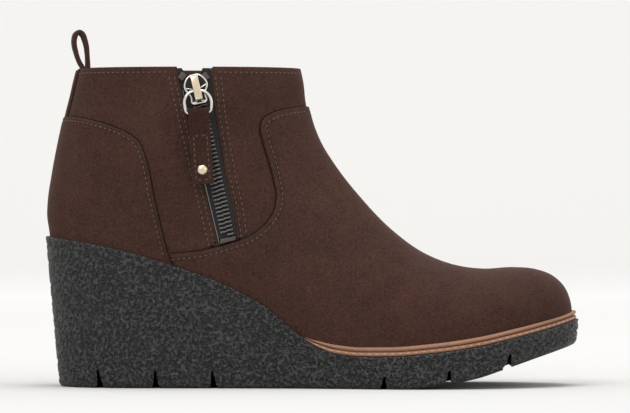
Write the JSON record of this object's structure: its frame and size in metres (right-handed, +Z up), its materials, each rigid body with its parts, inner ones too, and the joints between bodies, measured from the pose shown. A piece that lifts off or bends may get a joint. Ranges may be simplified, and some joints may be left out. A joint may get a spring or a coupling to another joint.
{
  "type": "wedge ankle boot",
  "caption": "Suede ankle boot on a textured wedge sole, with a tan welt at the forefoot, a side zip with a leather pull and a loop at the back.",
  "frame": {"origin": "middle of the boot's length and width, on the floor", "axes": "+X to the toe, -Y to the outer side with the zip, +Z up"},
  "size_m": [0.25, 0.0933, 0.1663],
  "materials": {
    "crepe_rubber": "matt crepe texture",
    "tan_welt": "satin",
    "footbed": "matt",
    "brown_suede": "matt suede nap",
    "zip_tape": "woven, matt",
    "zip_metal": "gunmetal, semi-gloss",
    "pale_gold_metal": "polished pale gold"
  },
  "bodies": {
    "boot": {"sole": "crepe_rubber", "welt": "tan_welt", "insole": "footbed", "upper": "brown_suede", "back_strip": "brown_suede", "pull_loop": "brown_suede", "zip_tape_back": "zip_tape", "zip_tape_front": "zip_tape", "zip_teeth": "zip_metal", "top_stop_back": "zip_metal", "top_stop_front": "zip_metal", "bottom_stop": "zip_metal", "slider": "pale_gold_metal"},
    "pull": {"pull_ring": "pale_gold_metal", "pull_tab": "brown_suede", "tab_rivet": "pale_gold_metal"}
  },
  "joints": [
    {"name": "zip_pull", "type": "hinge", "parent": "boot", "child": "pull", "pos_m": [-0.05325, -0.03447, 0.1372], "axis": [-0.9739, -0.0577, -0.2197], "range_deg": [0, 150]}
  ]
}
